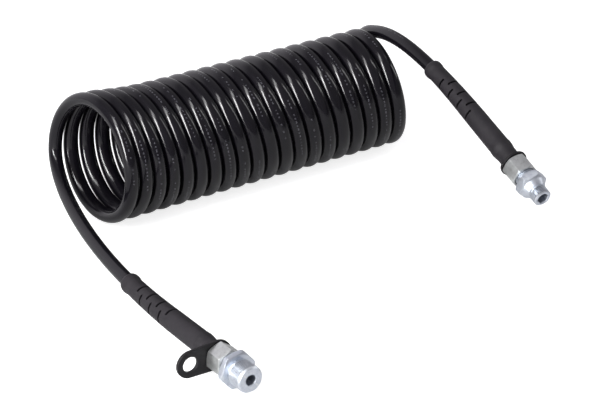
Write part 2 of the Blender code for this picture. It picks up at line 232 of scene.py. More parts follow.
def build(name, verts, faces, uvs, mat, sharp):
    """verts in design millimetres; uvs is one (u, v) per vertex."""
    me = bpy.data.meshes.new(name)
    coords = (np.array(verts, float) + np.array(SHIFT)) * MM
    me.from_pydata([tuple(c) for c in coords], [], faces)
    me.validate()
    layer = me.uv_layers.new(name="UVMap")
    index = np.zeros(len(me.loops), int)
    me.loops.foreach_get("vertex_index", index)
    layer.data.foreach_set("uv", np.array(uvs, float)[index].ravel())
    me.update()
    bm = bmesh.new()
    bm.from_mesh(me)
    bmesh.ops.recalc_face_normals(bm, faces=bm.faces)
    bm.to_mesh(me)
    bm.free()
    return add_object(name, me, mat, sharp)


def add_ring(verts, uvs, centre, x, y, radius, count, u):
    for j in range(count):
        a = TURN * j / count
        verts.append(tuple(centre + (x * math.cos(a) + y * math.sin(a))
                           * radius))
        uvs.append((u, j / count))


def fillet(profile, segs=3):
    """Round the marked corners of a closed (r, z, radius) polyline; every
    corner with a radius becomes segs + 1 points, so that all angles around
    a lathed body give equally many points."""
    n = len(profile)
    out = []
    for i, (r, z, radius) in enumerate(profile):
        if radius <= 0:
            out.append((r, z))
            continue
        corner = np.array((r, z))
        a = np.array(profile[i - 1][:2]) - corner
        b = np.array(profile[(i + 1) % n][:2]) - corner
        len_a, len_b = np.linalg.norm(a), np.linalg.norm(b)
        a, b = a / len_a, b / len_b
        half = math.acos(float(np.clip(a @ b, -0.9999, 0.9999))) / 2
        cut = min(radius / math.tan(half), 0.45 * len_a, 0.45 * len_b)
        p0, p1 = corner + a * cut, corner + b * cut
        for s in range(segs + 1):
            t = s / segs
            q = p0 * (1 - t) ** 2 + corner * (2 * t * (1 - t)) + p1 * t * t
            out.append((q[0], q[1]))
    return out


def lathe(name, profile_at, place, mat, sides=144, sharp=28.0, roll=0.0):
    """Closed ring body. profile_at(angle) gives a closed profile of
    (radius, height, fillet)."""
    verts, uvs = [], []
    for j in range(sides):
        a = TURN * j / sides
        profile = fillet(profile_at(a))
        length = 0.0
        last = profile[0]
        for r, z in profile:
            length += math.hypot(r - last[0], z - last[1])
            last = (r, z)
            verts.append(tuple(place @ Vector((
                r * math.cos(a + roll), r * math.sin(a + roll), z))))
            uvs.append((a / TURN, length))
    m = len(profile)
    faces = []
    for j in range(sides):
        k = (j + 1) % sides
        for i in range(m):
            n = (i + 1) % m
            faces.append((j * m + i, k * m + i, k * m + n, j * m + n))
    return build(name, verts, faces, uvs, mat, sharp)


def hex_r(flats, a, corner=0.5):
    """Hexagon with slightly rounded corners, radius at angle a."""
    half = flats / 2
    sixth = math.pi / 6
    b = (a + sixth) % (math.pi / 3) - sixth
    limit = math.atan2((half - corner) * math.tan(sixth), half)
    if abs(b) <= limit:
        return half / math.cos(b)
    d = (half - corner) / math.cos(sixth)
    g = sixth - abs(b)
    return d * math.cos(g) + math.sqrt(
        max(corner * corner - (d * math.sin(g)) ** 2, 0.0))


THREAD_P = 1.5
THREAD_DEPTH = 0.60 * THREAD_P
THREAD_PER = 10             # stations per pitch
THREAD_FADE = 1.6           # full depth at 1 / 1.6 of each run-out


def thread_phase(z, a):
    """1 at the root of the thread, 0 at the crest."""
    return abs(2 * ((z / THREAD_P - a / TURN) % 1.0) - 1)


def thread(major, z0, z1, a, run_in=1.1, run_out=1.2):
    """Right-hand V thread between z0 and z1 as closely spaced stations."""
    n = int(round((z1 - z0) / THREAD_P * THREAD_PER))
    out = []
    for i in range(n + 1):
        z = z0 + (z1 - z0) * i / n
        # flat crest and root, slightly bulged flanks
        cut = min(max((thread_phase(z, a) - 0.12) / 0.76, 0.0), 1.0)
        cut = cut - 0.10 * math.sin(math.pi * cut) * cut
        fade_in = min(1.0, max((z - z0) / run_in, 0) * THREAD_FADE)
        fade_out = min(1.0, max((z1 - z) / run_out, 0) * THREAD_FADE)
        out.append((major - THREAD_DEPTH * cut * fade_in * fade_out, z, 0))
    return out


# -------------------------------------------------------------- shader graph
class Graph:
    """An emptied node tree; the methods add nodes and return sockets."""

    def __init__(self, tree):
        self.tree = tree
        for old in list(tree.nodes):
            tree.nodes.remove(old)

    def new(self, kind):
        return self.tree.nodes.new(kind)

    def feed(self, socket, value):
        """Link a socket, or set a number or an RGB colour."""
        if isinstance(value, (int, float)):
            socket.default_value = value
        elif isinstance(value, tuple):
            socket.default_value = (*value, 1.0)
        else:
            self.tree.links.new(value, socket)

    def math(self, operation, *values, clamp=False):
        n = self.new("ShaderNodeMath")
        n.operation = operation
        n.use_clamp = clamp
        for socket, value in zip(n.inputs, values):
            self.feed(socket, value)
        return n.outputs[0]

    def mul(self, a, by, clamp=False):
        return self.math("MULTIPLY", a, by, clamp=clamp)

    def add(self, a, b):
        return self.math("ADD", a, b)

    def split(self, vector):
        n = self.new("ShaderNodeSeparateXYZ")
        self.feed(n.inputs[0], vector)
        return n.outputs

    def combine(self, *values):
        n = self.new("ShaderNodeCombineXYZ")
        for socket, value in zip(n.inputs, values):
            self.feed(socket, value)
        return n.outputs[0]

    def ramp(self, fac, stops):
        """Two-stop colour ramp."""
        n = self.new("ShaderNodeValToRGB")
        for element, (position, color) in zip(n.color_ramp.elements, stops):
            element.position = position
            element.color = (*color, 1.0)
        self.feed(n.inputs["Fac"], fac)
        return n.outputs[0]

    def remap(self, value, span, to=(0, 1)):
        n = self.new("ShaderNodeMapRange")
        n.inputs["From Min"].default_value = span[0]
        n.inputs["From Max"].default_value = span[1]
        n.inputs["To Min"].default_value = to[0]
        n.inputs["To Max"].default_value = to[1]
        self.feed(n.inputs["Value"], value)
        return n.outputs["Result"]

    def mix(self, fac, a, b):
        n = self.new("ShaderNodeMix")
        n.data_type = "RGBA"
        for i, value in ((0, fac), (6, a), (7, b)):
            self.feed(n.inputs[i], value)
        return n.outputs[2]

    def tint(self, col, mask, other, amount, clamp=True):
        """Mix other over col by mask times amount."""
        return self.mix(self.mul(mask, by=amount, clamp=clamp), col, other)

    def noise(self, vector, scale, detail=4.0, rough=0.55, distort=0.0):
        n = self.new("ShaderNodeTexNoise")
        n.inputs["Scale"].default_value = scale
        n.inputs["Detail"].default_value = detail
        n.inputs["Roughness"].default_value = rough
        n.inputs["Distortion"].default_value = distort
        self.feed(n.inputs["Vector"], vector)
        return n.outputs["Fac"]

    def bump(self, height, distance, strength):
        n = self.new("ShaderNodeBump")
        n.inputs["Distance"].default_value = distance
        n.inputs["Strength"].default_value = strength
        self.feed(n.inputs["Height"], height)
        return n.outputs["Normal"]

    def paint_crevice_shade(self, col, distance, floor, amount):
        """Painted shade: darken the colour in thread roots, slots and inside
        corners by ambient occlusion.
        """
        ao = self.new("ShaderNodeAmbientOcclusion")
        ao.samples = 8
        ao.inputs["Distance"].default_value = distance
        is_open = self.remap(ao.outputs["AO"], span=(floor, 0.92))
        return self.tint(col, self.math("SUBTRACT", 1.0, is_open),
                         (0.004, 0.004, 0.005), amount=amount)


def new_material(name):
    mat = bpy.data.materials.new(name)
    mat.use_nodes = True
    g = Graph(mat.node_tree)
    out = g.new("ShaderNodeOutputMaterial")
    bsdf = g.new("ShaderNodeBsdfPrincipled")
    g.feed(out.inputs["Surface"], bsdf.outputs["BSDF"])
    return mat, g, bsdf.inputs


def scaled(color, k):
    return tuple(min(1.0, c * k) for c in color)


# ----------------------------------------------------------------- materials
MARK_CELL = 0.0031          # metres of tube per dash
MARK_GROUP = 0.113          # metres per group of dashes, half of it blank
MARK_AT, MARK_HALF = 0.035, 0.0155      # place and half width round the tube


def tube_marks(g, u, v, worn_noise):
    """Faint short dashes along the outer side; returns their mask."""
    band = g.math("LESS_THAN", g.math("ABSOLUTE", g.math(
        "SUBTRACT", v, MARK_AT)), MARK_HALF)
    cell = g.math("FLOOR", g.mul(u, by=1 / MARK_CELL))
    white = g.new("ShaderNodeTexWhiteNoise")
    white.noise_dimensions = "1D"
    g.feed(white.inputs["W"], cell)
    chance = white.outputs[0]
    along = g.math("FRACT", g.mul(u, by=1 / MARK_CELL))
    half_min, half_more = 0.10, 0.26    # half a dash, in cells
    dash = g.math("LESS_THAN",
                  g.math("ABSOLUTE", g.math("SUBTRACT", along, 0.5)),
                  g.math("MULTIPLY_ADD", chance, half_more, half_min))
    group = g.math("LESS_THAN",
                   g.math("FRACT", g.mul(u, by=1 / MARK_GROUP)), 0.50)
    missing = 0.22                      # share of cells left empty
    printed = g.math("GREATER_THAN", chance, missing)
    worn = g.remap(worn_noise, span=(0.38, 0.6))
    mark = g.mul(g.mul(band, by=dash), by=g.mul(group, by=printed))
    return mark, g.mul(worn, by=0.5)


def tube_material():
    """Glossy black extruded polyamide. UV: u metres along, v round."""
    mat, g, bsdf = new_material("tube_polyamide_fine")
    uv = g.split(g.new("ShaderNodeTexCoord").outputs["UV"])
    u, v = uv["X"], uv["Y"]
    # closed coordinates round the tube, so nothing shows a seam
    cos_v = g.math("COSINE", g.mul(v, by=TURN))
    sin_v = g.math("SINE", g.mul(v, by=TURN))

    def coords(along, across):
        return g.combine(g.mul(u, by=along), g.mul(cos_v, by=across),
                         g.mul(sin_v, by=across))

    broad = g.noise(coords(along=9.0, across=0.5), scale=2.2, detail=3.0)
    streak = g.noise(coords(along=6.0, across=4.0), scale=4.5, detail=5.0,
                     rough=0.6)
    fine = g.noise(coords(along=900.0, across=5.5), scale=1.0, detail=3.0,
                   rough=0.6)
    speck = g.noise(coords(along=1500.0, across=9.0), scale=1.0, detail=2.0,
                    rough=0.5)
    col = g.ramp(broad, stops=[(0.3, (0.0030, 0.0026, 0.0042)),
                               (0.7, (0.0052, 0.0045, 0.0068))])
    # handling haze and dust, stronger in broad patches
    haze = g.mul(g.remap(streak, span=(0.5, 0.78)),
                 by=g.remap(broad, span=(0.42, 0.62)), clamp=True)
    col = g.tint(col, haze, (0.030, 0.028, 0.032), amount=0.22, clamp=False)
    col = g.tint(col, g.remap(speck, span=(0.70, 0.78)), (0.05, 0.05, 0.05),
                 amount=0.35)
    worn_noise = g.noise(coords(along=1200.0, across=8.0), scale=1.0,
                         detail=2.0)
    mark, strength = tube_marks(g, u, v, worn_noise)
    col = g.tint(col, mark, (0.15, 0.15, 0.17), amount=strength)
    g.feed(bsdf["Base Color"], col)
    g.feed(bsdf["Roughness"],
           g.add(g.remap(streak, span=(0.3, 0.75), to=(0.12, 0.19)),
                 g.mul(haze, by=0.14)))
    bsdf["IOR"].default_value = 1.45
    height = g.add(g.mul(streak, by=1.0), g.mul(fine, by=0.06))
    g.feed(bsdf["Normal"], g.bump(height, distance=0.00010, strength=0.30))
    return mat


def rubber_material(name, dark, light, rough, grain, dust=0.05):
    """Dull black rubber or plastic with rubbed edges and specks of dust."""
    mat, g, bsdf = new_material(name)
    obj = g.new("ShaderNodeTexCoord").outputs["Object"]
    broad = g.noise(obj, scale=38.0, detail=4.0, rough=0.6)
    mid = g.noise(obj, scale=260.0, detail=5.0, rough=0.6, distort=0.4)
    fine = g.noise(obj, scale=grain, detail=3.0, rough=0.6)
    col = g.ramp(broad, stops=[(0.32, dark), (0.68, light)])
    col = g.tint(col, g.remap(mid, span=(0.56, 0.74)), scaled(light, k=1.9),
                 amount=0.35, clamp=False)
    # rubbed edges read a little lighter
    point = g.new("ShaderNodeNewGeometry").outputs["Pointiness"]
    edge = g.remap(point, span=(0.52, 0.60))
    col = g.tint(col, edge, scaled(light, k=2.4), amount=0.35)
    speck = g.noise(obj, scale=1500.0, detail=2.0, rough=0.5)
    col = g.tint(col, g.remap(speck, span=(0.70, 0.80)), (0.16, 0.15, 0.15),
                 amount=dust * 4)
    # painted shade: slots and inside corners darkened by ambient occlusion
    col = g.paint_crevice_shade(col, distance=0.003, floor=0.45, amount=0.85)
    g.feed(bsdf["Base Color"], col)
    g.feed(bsdf["Roughness"],
           g.add(g.remap(mid, span=(0.3, 0.7), to=(rough - 0.06, rough + 0.08)),
                 g.mul(edge, by=-0.08)))
    bsdf["IOR"].default_value = 1.38
    height = g.add(g.mul(fine, by=0.5), g.mul(mid, by=0.6))
    g.feed(bsdf["Normal"], g.bump(height, distance=0.00012, strength=0.45))
    return mat


def metal_material(name, dark, light, blotch, rough, turning=900.0,
                   streaks=0.5, blotches=0.3):
    """Plated steel or brass: turning marks, blotches, small scuffs."""
    mat, g, bsdf = new_material(name)
    tex = g.new("ShaderNodeTexCoord")
    obj = tex.outputs["Object"]
    broad = g.noise(obj, scale=90.0, detail=5.0, rough=0.62, distort=0.6)
    mid = g.noise(obj, scale=420.0, detail=5.0, rough=0.6)
    fine = g.noise(obj, scale=1800.0, detail=3.0, rough=0.6)
    uv = g.split(tex.outputs["UV"])
    turned = g.noise(g.combine(g.mul(uv["X"], by=2.0),
                               g.mul(uv["Y"], by=turning)),
                     scale=3.0, detail=4.0, rough=0.65)
    col = g.ramp(broad, stops=[(0.30, dark), (0.70, light)])
    col = g.tint(col, g.remap(mid, span=(0.5, 0.72)), blotch, amount=blotches)
    # edges lighter, scuffs darker, and hollows darker as painted shade
    point = g.new("ShaderNodeNewGeometry").outputs["Pointiness"]
    col = g.tint(col, g.remap(point, span=(0.52, 0.62)),
                 scaled(light, k=1.18), amount=0.5)
    col = g.tint(col, g.remap(point, span=(0.40, 0.48), to=(1, 0)),
                 scaled(dark, k=0.55), amount=0.45)
    scuff = g.remap(g.noise(obj, scale=700.0, detail=2.0, rough=0.5,
                            distort=2.5), span=(0.66, 0.72))
    col = g.tint(col, scuff, scaled(dark, k=0.55), amount=0.45)
    # painted shade: thread roots and inside corners darkened by ambient
    # occlusion
    col = g.paint_crevice_shade(col, distance=0.0010, floor=0.42, amount=0.70)
    g.feed(bsdf["Base Color"], col)
    bsdf["Metallic"].default_value = 1.0
    g.feed(bsdf["Roughness"],
           g.add(g.remap(broad, span=(0.3, 0.7),
                         to=(rough - 0.05, rough + 0.07)),
                 g.mul(scuff, by=0.12)))
    height = g.add(g.mul(turned, by=streaks),
                   g.add(g.mul(fine, by=0.25), g.mul(mid, by=0.35)))
    g.feed(bsdf["Normal"], g.bump(height, distance=0.00006, strength=0.5))
    return mat


TUBE = tube_material()
BOOT = rubber_material(
    "boot_rubber_fine", dark=(0.0115, 0.0102, 0.0125),
    light=(0.0190, 0.0168, 0.0200), rough=0.54, grain=2600.0)
RING = rubber_material(
    "ring_plastic_fine", dark=(0.0065, 0.006, 0.007),
    light=(0.012, 0.011, 0.013), rough=0.40, grain=1900.0, dust=0.02)
NUT = metal_material(
    "nut_zinc_fine", dark=(0.66, 0.68, 0.675), light=(0.80, 0.82, 0.815),
    blotch=(0.50, 0.51, 0.49), rough=0.40, turning=260.0, streaks=0.35,
    blotches=0.60)
STUD = metal_material(
    "stud_zinc_fine", dark=(0.68, 0.73, 0.81), light=(0.84, 0.88, 0.94),
    blotch=(0.48, 0.53, 0.64), rough=0.40, streaks=0.8, blotches=0.50)
CUT = metal_material(
    "cutting_ring_fine", dark=(0.35, 0.32, 0.22), light=(0.48, 0.44, 0.32),
    blotch=(0.50, 0.42, 0.20), rough=0.36)
BRASS = metal_material(
    "sleeve_brass_fine", dark=(0.50, 0.37, 0.15), light=(0.62, 0.48, 0.22),
    blotch=(0.45, 0.30, 0.12), rough=0.30)


# ---------------------------------------------------------------------- tube
def tube_piece(name, points, tangents, sides, ovals, lengths):
    """Hollow tube along points; sides[i] is the zero direction of ring i,
    ovals[i] how much it is widened square to that direction, and lengths[i]
    its u coordinate."""
    verts, uvs, faces = [], [], []
    last = len(points) - 1
    n_out, n_in = TUBE_OUT_N, TUBE_IN_N
    per = n_out + n_in
    for p, t, x, oval, u in zip(points, tangents, sides, ovals, lengths):
        y = t.cross(x)
        y, x = y * (1 + oval * 2 / TUBE_OD), x * (1 - oval * 0.4 / TUBE_OD)
        add_ring(verts, uvs, p, x, y, TUBE_OD / 2, n_out, u)
        add_ring(verts, uvs, p, x, y, TUBE_ID / 2, n_in, u)
    for i in range(last):
        o, q = i * per, (i + 1) * per
        for j in range(n_out):
            k = (j + 1) % n_out
            faces.append((o + j, o + k, q + k, q + j))
        for j in range(n_in):
            k = (j + 1) % n_in
            faces.append((o + n_out + k, o + n_out + j, q + n_out + j,
                          q + n_out + k))
    ratio = n_out // n_in
    for i in (0, last):
        o = i * per
        for j in range(n_in):
            k = (j + 1) % n_in
            face = [o + (j * ratio + s) % n_out for s in range(ratio + 1)]
            face += [o + n_out + k, o + n_out + j]
            faces.append(tuple(face if i else face[::-1]))
    ob = build(name, verts, faces, uvs, TUBE, 60.0)
    # the last quad of each ring runs from v near 1 back to v = 1, not 0
    layer = ob.data.uv_layers["UVMap"]
    for poly in ob.data.polygons:
        vs = [layer.data[li].uv[1] for li in poly.loop_indices]
        if max(vs) - min(vs) > 0.5:
            for li in poly.loop_indices:
                if layer.data[li].uv[1] < 0.25:
                    layer.data[li].uv[1] += 1.0
    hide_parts("coiled_tube")
    return ob


def transport_from(x, tangents):
    """Carry direction x along the tangents without twist."""
    out = [(x - tangents[0] * x.dot(tangents[0])).normalized()]
    for a, b in zip(tangents, tangents[1:]):
        x = a.rotation_difference(b) @ out[-1]
        out.append((x - b * x.dot(b)).normalized())
    return out


def end_fades(count, turns):
    """0 at both ends of the coil, rising to 1 over the given turns."""
    length = turns * COIL_STEPS
    return np.array([smooth01(i / length) * smooth01((count - 1 - i) / length)
                     for i in range(count)])


def coil_ovals(points):
    """The coiled tube flattens a little: wider along the coil, never so
    wide that two turns meet."""
    clearance, window = 0.25, 21
    count = len(points)
    coords = np.array([tuple(p) for p in points])
    lo, hi = int(COIL_STEPS * 0.62), int(COIL_STEPS * 1.38)
    nearest = np.full(count, 99.0)
    for i in range(count):
        for a, b in ((i + lo, min(count, i + hi)),
                     (max(0, i - hi), i - lo + 1)):
            a = max(a, 0)
            if b > a:
                nearest[i] = min(nearest[i], np.linalg.norm(
                    coords[a:b] - coords[i], axis=1).min())
    wide = np.clip((nearest - TUBE_OD - clearance) / 2, 0.0, OVAL)
    # lowest value in a moving window, then its moving average
    pad = np.pad(wide, window // 2, "edge")
    low = np.array([pad[i:i + window].min() for i in range(count)])
    wide = np.convolve(np.pad(low, window // 2, "edge"),
                       np.ones(window) / window, "valid")
    return wide * end_fades(count, turns=0.25)


def long_tube():
    """The coil and both tails, as far as the joins inside the boots."""
    n = int(round((PSI_B - PSI_A) / TURN * COIL_STEPS))
    psis = [PSI_A + (PSI_B - PSI_A) * i / n for i in range(n + 1)]
    coil = [coil_point(psi) for psi in psis]
    coil_t = [coil_tangent(psi) for psi in psis]
    coil_side = [outward(psi) for psi in psis]

    # tail A runs from its join towards the coil, against its rail
    at_a = RAIL_A.stations()
    tail_a = [RAIL_A.at(s) for s in at_a]
    tail_a_t = [-RAIL_A.tangent(s) for s in at_a]
    side_a = transport_from(coil_side[0], [coil_t[0]] + tail_a_t[::-1])[1:]
    at_b = RAIL_B.stations()[::-1]
    tail_b = [RAIL_B.at(s) for s in at_b]
    tail_b_t = [RAIL_B.tangent(s) for s in at_b]
    side_b = transport_from(coil_side[-1], [coil_t[-1]] + tail_b_t)[1:]

    points = tail_a + coil + tail_b
    lengths = [0.0]
    for a, b in zip(points, points[1:]):
        lengths.append(lengths[-1] + (b - a).length * MM)
    ovals = ([0.0] * len(tail_a) + [float(c) for c in coil_ovals(coil)]
             + [0.0] * len(tail_b))
    hose = tube_piece("hose_tube", points, tail_a_t + coil_t + tail_b_t,
                      side_a[::-1] + coil_side + side_b, ovals, lengths)
    world(coil[0]).x
    world(coil[-1]).x
    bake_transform(hose)
    # weights along the tube: 0 on tail A, rising evenly along the coil and
    # easing at both ends, 1 on tail B; computed but not used
    rate = end_fades(n + 1, turns=0.7)
    share = np.concatenate(([0.0], np.cumsum((rate[1:] + rate[:-1]) / 2)))
    share /= share[-1]
    weights = np.concatenate((np.zeros(len(tail_a)), share,
                              np.ones(len(tail_b))))
    weights = np.repeat(weights, TUBE_OUT_N + TUBE_IN_N).astype(np.float32)


def blend_bend(ob, rail):
    """Bake the object's transform into its mesh; the rail points at BEND_FROM
    and BEND_TO are computed but not used.
    """
    tuple(world(rail.at(BEND_FROM)))
    tuple(world(rail.at(BEND_TO)))
    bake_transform(ob)


def tube_end(name, rail, u_start):
    """Short tube from the join to inside the stud."""
    start = JOIN + JOIN_GAP
    stations = [start - start * i / 44 for i in range(45)]
    stations += [6.0, 12.0, TUBE_END]
    tangents = [rail.tangent(s) for s in stations]
    ob = tube_piece(name, [rail.at(s) for s in stations], tangents,
                    transport_from(Vector((0, 0, 1)), tangents),
                    [0.0] * len(stations),
                    [u_start + s * MM for s in stations])
    blend_bend(ob, rail)


long_tube()
tube_end("hose_tube_end_a", RAIL_A, u_start=8.1)
tube_end("hose_tube_end_b", RAIL_B, u_start=9.3)

# --------------------------------------------------------------------- boots
# distance along the rail, outer radius
BOOT_PROFILE = [
    (-139.0, 7.9), (-137.6, 8.6), (-134.5, 8.75), (-132.0, 8.4),
    (-130.0, 8.0), (-101.5, 8.45), (-63.0, 9.15), (-26.0, 9.35),
    (-21.5, 9.75), (-19.0, 9.6), (-14.0, 8.85), (-3.6, 8.8)]
BOOT_BORE_R, BOOT_RIM = 6.35, 0.9
BOOT_SIDES, BOOT_STEP = 96, 1.05
# four slots on one side and three between them on the other
SLOT_W, SLOT_PITCH, SLOT_FIRST = 2.6, 15.3, -113.0
SLOT_ARC = 187.5                    # degrees
SLOT_SIDE_A, SLOT_SIDE_B = math.radians(43.0), math.radians(218.0)
SLOT_STATIONS = (-1.6, -1.1, -0.55, 0.0, 0.55, 1.1, 1.6)
# (centre, index of the point round the boot that the slot is centred on)
SLOTS = ([(SLOT_FIRST + SLOT_PITCH * i, 0) for i in range(4)]
         + [(SLOT_FIRST + SLOT_PITCH * (i + 0.5), BOOT_SIDES // 2)
            for i in range(3)])
BOOT_Z = np.array([p[0] for p in BOOT_PROFILE])
BOOT_R = np.array([p[1] for p in BOOT_PROFILE])


def boot_radius(s):
    """The profile averaged over 1.6 mm, with rounded rims."""
    near = np.clip(s + np.linspace(-0.8, 0.8, 9), BOOT_Z[0], BOOT_Z[-1])
    r = float(np.mean(np.interp(near, BOOT_Z, BOOT_R)))
    edge = min(s - BOOT_Z[0], BOOT_Z[-1] - s)
    if edge < BOOT_RIM:
        q = 1 - edge / BOOT_RIM
        r -= BOOT_RIM * (1 - math.sqrt(max(0.0, 1 - q * q)))
    return r


def boot_stations():
    stations = {round(c + d, 3) for c, _ in SLOTS for d in SLOT_STATIONS}
    marks = sorted(stations)
    x = BOOT_Z[0]
    while x <= BOOT_Z[-1] + 1e-6:
        if all(abs(x - mark) > 0.55 for mark in marks):
            stations.add(round(float(x), 3))
        x += BOOT_STEP
    stations.add(round(float(BOOT_Z[-1]), 3))
    return sorted(stations)


def boot_faces(stations):
    """Outer wall, bore, slot walls and the two end rings."""
    n, sides = len(stations), BOOT_SIDES
    half = int(round(SLOT_ARC / 2 / 360 * sides))

    def is_slot(i, j):
        if i < 0 or i >= n - 1:
            return False
        mid = (stations[i] + stations[i + 1]) / 2
        for centre, facing in SLOTS:
            if abs(mid - centre) < SLOT_W / 2:
                d = (j - facing) % sides
                limit = half
                # rounded slot ends
                if abs(mid - centre) / (SLOT_W / 2) > 0.5:
                    limit -= 1
                return d < limit or d >= sides - limit
        return False

    def o(i, j):
        return i * 2 * sides + j % sides

    def q(i, j):
        return o(i, j) + sides

    faces = []
    for i in range(n - 1):
        for j in range(sides):
            k = j + 1
            if not is_slot(i, j):
                faces.append((o(i, j), o(i, k), o(i + 1, k), o(i + 1, j)))
                faces.append((q(i, k), q(i, j), q(i + 1, j), q(i + 1, k)))
                continue
            if not is_slot(i - 1, j):
                faces.append((o(i, j), o(i, k), q(i, k), q(i, j)))
            if not is_slot(i + 1, j):
                faces.append((o(i + 1, k), o(i + 1, j), q(i + 1, j),
                              q(i + 1, k)))
            if not is_slot(i, j - 1):
                faces.append((o(i + 1, j), o(i, j), q(i, j), q(i + 1, j)))
            if not is_slot(i, k):
                faces.append((o(i, k), o(i + 1, k), q(i + 1, k), q(i, k)))
    for i in (0, n - 1):
        for j in range(sides):
            faces.append((o(i, j), q(i, j), q(i, j + 1), o(i, j + 1)))
    return faces


def boot(name, rail, side_angle, node_name):
    stations = boot_stations()
    side = Vector((math.cos(side_angle), 0.0, math.sin(side_angle)))
    verts, uvs = [], []
    for s in stations:
        p, t = rail.at(s), rail.tangent(s)
        x = (side - t * side.dot(t)).normalized()
        y = t.cross(x)
        for radius in (boot_radius(s), BOOT_BORE_R):
            add_ring(verts, uvs, p, x, y, radius, BOOT_SIDES, s * MM)
    ob = build(name, verts, boot_faces(stations), uvs, BOOT, None)
    bm = bmesh.new()
    bm.from_mesh(ob.data)
    loose = [v for v in bm.verts if not v.link_faces]
    bmesh.ops.delete(bm, geom=loose, context="VERTS")
    bmesh.ops.recalc_face_normals(bm, faces=bm.faces)
    edges = [e for e in bm.edges if len(e.link_faces) == 2
             and e.calc_face_angle(0) > math.radians(55)]
    bmesh.ops.bevel(bm, geom=edges, offset=0.00022, segments=2,
                    affect="EDGES", profile=0.6, clamp_overlap=True)
    bm.to_mesh(ob.data)
    bm.free()
    shade(ob.data, 50)
    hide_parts(node_name)
    blend_bend(ob, rail)


boot("boot_a", RAIL_A, SLOT_SIDE_A, "bend_protector_a")
boot("boot_b", RAIL_B, SLOT_SIDE_B, "bend_protector_b")


def register(ob, node_name, slot, body):
    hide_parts(node_name)
    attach(ob, body)


# --------------------------------------------------------- rings behind nuts
RING_T, RING_R, RING_BORE_R, RING_BACK = 2.8, 12.4, 6.6, -3.2
EYE_R, EYE_HOLE_R, EYE_DIST = 11.4, 6.4, 25.0
EYE_TURN = math.radians(180.0)      # from the end frame's x


def collar_profile(a):
    z0, z1 = RING_BACK, RING_BACK + RING_T
    return [(RING_BORE_R, z0, 0.25), (RING_R - 0.9, z0, 0.5),
            (RING_R, z0 + 0.5, 0.4), (RING_R, z1 - 0.3, 0.3),
            (RING_R - 0.3, z1, 0.2), (RING_BORE_R, z1, 0.25)]


def arc(x, r, start, sweep, n):
    angles = [start + sweep * i / n for i in range(n + 1)]
    return [(x + r * math.cos(a), r * math.sin(a)) for a in angles]


def hanging_eye():
    """Flat plate: a ring round the tube and an eye, with tangent sides."""
    ex = Vector((math.cos(EYE_TURN), math.sin(EYE_TURN), 0.0))
    ey = Vector((-ex.y, ex.x, 0.0))
    lean = math.acos((RING_R - EYE_R) / EYE_DIST)
    loops = [arc(0, RING_R, lean, TURN - 2 * lean, 96)
             + arc(EYE_DIST, EYE_R, -lean, 2 * lean, 64),
             arc(0, RING_BORE_R, 0, TURN, 72)[:-1],
             arc(EYE_DIST, EYE_HOLE_R, 0, TURN, 72)[:-1]]
    bm = bmesh.new()
    edges = []
    for loop in loops:
        vs = [bm.verts.new(ex * x + ey * y + Vector((0, 0, RING_BACK)))
              for x, y in loop]
        for a, b in zip(vs, vs[1:] + vs[:1]):
            edges.append(bm.edges.new((a, b)))
    bmesh.ops.triangle_fill(bm, use_beauty=True, edges=edges)
    bmesh.ops.dissolve_limit(bm, angle_limit=0.01, verts=bm.verts,
                             edges=bm.edges)
    extruded = bmesh.ops.extrude_face_region(bm, geom=list(bm.faces))
    moved = [e for e in extruded["geom"] if isinstance(e, bmesh.types.BMVert)]
    bmesh.ops.translate(bm, verts=moved, vec=Vector((0, 0, RING_T)))
    bmesh.ops.recalc_face_normals(bm, faces=bm.faces)
    rim = [e for e in bm.edges if len(e.link_faces) == 2
           and e.calc_face_angle(0) > math.radians(60)]
    bmesh.ops.bevel(bm, geom=rim, offset=0.45, segments=4, affect="EDGES",
                    profile=0.5, clamp_overlap=True)
    bmesh.ops.triangulate(bm, faces=[f for f in bm.faces
                                     if len(f.verts) > 4])
    for v in bm.verts:
        v.co = world(PLACE_A @ v.co)
    me = bpy.data.meshes.new("eye_plate")
    bm.to_mesh(me)
    bm.free()
    return add_object("eye_plate", me, RING, 35)


register(lathe("collar_b", collar_profile, PLACE_B, RING, sides=96, sharp=32.0),
         "end_collar_b", "ring_plastic", "end_b")
register(hanging_eye(), "hanging_eye", "ring_plastic", "eye")

# ---------------------------------------------------------------------- nuts
NUT_AF, NUT_L, NUT_THREAD_R, NUT_BORE_R = 22.0, 17.4, 9.2, 6.6
NUT_THREAD_Z = (8.0, NUT_L - 0.9)


def nut_profile(a):
    chamfer = NUT_AF / 2 - 0.35
    hr = hex_r(NUT_AF, a, 0.45)
    rise = 0.58 * max(0.0, hr - chamfer)
    z_low, z_high = NUT_THREAD_Z
    n = int((z_high - z_low) / THREAD_P * 8)
    grooves = []
    for i in range(n + 1):
        z = z_high + (z_low - z_high) * i / n
        depth = 0.10 * min(1, thread_phase(z, a) * 1.2)
        grooves.append((NUT_THREAD_R + 0.02 - depth, z, 0))
    return [(NUT_BORE_R, 0.0, 0.3), (chamfer - 0.05, 0.0, 0.25),
            (hr, rise, 0.22), (hr, NUT_L - rise, 0.22),
            (chamfer - 0.05, NUT_L, 0.25),
            (NUT_THREAD_R + 0.8, NUT_L, 0.12)] + grooves + [
            (NUT_THREAD_R, 6.6, 0), (NUT_BORE_R, 4.0, 0.1)]


# --------------------------------------------------------------------- studs
STUD_BACK, CONE_R, SOCKET_R, SOCKET_END = 8.6, 7.9, 6.35, 19.2
CONE_END = STUD_BACK + (CONE_R - SOCKET_R) / math.tan(math.radians(12.0))
NECK_R = 7.95
